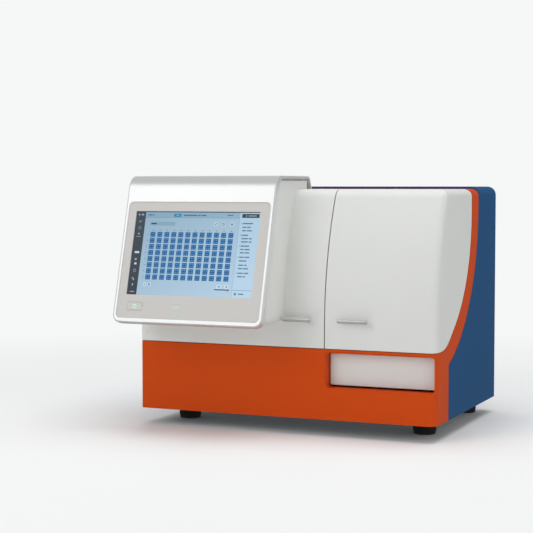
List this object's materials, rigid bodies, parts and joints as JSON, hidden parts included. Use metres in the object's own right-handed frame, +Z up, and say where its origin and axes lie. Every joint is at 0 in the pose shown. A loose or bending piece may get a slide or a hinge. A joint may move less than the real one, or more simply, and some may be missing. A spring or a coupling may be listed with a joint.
{
  "type": "microplate reader",
  "caption": "Bench microplate reader with a tilted touch display on a lift-up door, a filter door and a sliding plate drawer in a banded housing.",
  "frame": {"origin": "centre of the whole footprint on the bench surface", "axes": "+Z up, -Y to the front with the doors and drawer, +X to the right seen from the front"},
  "size_m": [0.534, 0.483, 0.43],
  "materials": {
    "orange_shell": "moulded, fine satin grain",
    "blue_shell": "moulded, fine satin grain",
    "white_shell": "moulded, fine satin grain",
    "silver_fascia": "bead-blasted and clear anodised",
    "grey_bezel": "satin",
    "screen_glass": "polished",
    "lcd": "matt",
    "green_board": "solder mask",
    "light_guide": "frosted",
    "button_plastic": "satin",
    "satin_metal": "satin nickel",
    "bright_steel": "ground",
    "sheet_steel": "zinc plated",
    "grey_sheet": "powder coat",
    "black_casting": "matt black anodised",
    "black_plastic": "moulded",
    "foot_rubber": "moulded",
    "belt_rubber": "moulded",
    "machined_aluminium": "machined",
    "dark_panel": "powder coat"
  },
  "bodies": {
    "housing": {"base_moulding": "orange_shell", "rear_housing": "blue_shell", "hinge_beam": "sheet_steel", "hinge_pins": "bright_steel", "guide_rails": "bright_steel", "rail_brackets": "machined_aluminium", "drive_belt": "belt_rubber", "drive_motor": "black_casting", "idler_post": "bright_steel", "chassis_pan": "sheet_steel", "rubber_feet": "foot_rubber", "foot_screws": "bright_steel", "optics_deck": "machined_aluminium", "inner_fascia": "grey_sheet", "filter_slides": "black_plastic", "read_chamber": "black_casting", "monochromators": "black_casting", "flash_lamp": "machined_aluminium", "photomultiplier": "bright_steel", "mainboard": "green_board", "power_supply": "sheet_steel", "door_magnets": "black_plastic", "rear_panel": "dark_panel", "rear_screws": "bright_steel", "fan_frame": "black_plastic", "power_inlet": "black_plastic", "switch_frame": "black_plastic", "io_ports": "bright_steel", "io_board": "green_board"},
    "left_door": {"left_door": "white_shell", "display_fascia": "silver_fascia", "bezel_plate": "grey_bezel", "touch_glass": "screen_glass", "lcd_panel": "lcd", "display_board": "green_board", "status_light": "light_guide", "left_handle": "satin_metal", "left_hinge_leaves": "sheet_steel", "left_strike_plate": "sheet_steel"},
    "power_button": {"power_button": "button_plastic"},
    "right_door": {"right_door": "white_shell", "right_handle": "satin_metal", "right_hinge_leaves": "sheet_steel", "right_strike_plate": "sheet_steel"},
    "plate_drawer": {"drawer_front": "white_shell", "carriage": "machined_aluminium", "slide_blocks": "bright_steel", "belt_clamp": "machined_aluminium"},
    "motor_pulley": {"motor_pulley": "machined_aluminium"},
    "idler_pulley": {"idler_pulley": "machined_aluminium"},
    "fan_rotor": {"fan_rotor": "black_plastic"},
    "switch_rocker": {"switch_rocker": "black_plastic"}
  },
  "joints": [
    {"name": "left_door_lift", "type": "hinge", "parent": "housing", "child": "left_door", "pos_m": [0.001, 0.05391, 0.3976], "axis": [-1, 0, 0], "range_deg": [0, 65]},
    {"name": "right_door_lift", "type": "hinge", "parent": "housing", "child": "right_door", "pos_m": [0.001, 0.05391, 0.3976], "axis": [-1, 0, 0], "range_deg": [0, 65]},
    {"name": "drawer_slide", "type": "slide", "parent": "housing", "child": "plate_drawer", "axis": [0, -1, 0], "range_m": [0, 0.165]},
    {"name": "motor_pulley_spin", "type": "hinge", "parent": "housing", "child": "motor_pulley", "pos_m": [0.17075, 0.16391, 0.065], "axis": [0, 0, 1], "range_deg": [0, 1081.43]},
    {"name": "idler_pulley_spin", "type": "hinge", "parent": "housing", "child": "idler_pulley", "pos_m": [0.17075, -0.08209, 0.065], "axis": [0, 0, 1], "range_deg": [0, 1081.43]},
    {"name": "power_button_press", "type": "slide", "parent": "left_door", "child": "power_button", "axis": [0, 0.9636, -0.2672], "range_m": [0, 0.0015], "stiffness_N_per_m": 600, "springref_m": -0.0005},
    {"name": "fan_spin", "type": "hinge", "parent": "housing", "child": "fan_rotor", "pos_m": [0.131, 0.23691, 0.15], "axis": [0, 1, 0], "continuous": true},
    {"name": "switch_rock", "type": "hinge", "parent": "housing", "child": "switch_rocker", "pos_m": [-0.109, 0.23491, 0.15], "axis": [-1, 0, 0], "range_deg": [0, 20]}
  ],
  "couplings": [
    {"joint": "motor_pulley_spin", "follows": "drawer_slide", "rad_per_m": 114.29},
    {"joint": "idler_pulley_spin", "follows": "drawer_slide", "rad_per_m": 114.29}
  ]
}
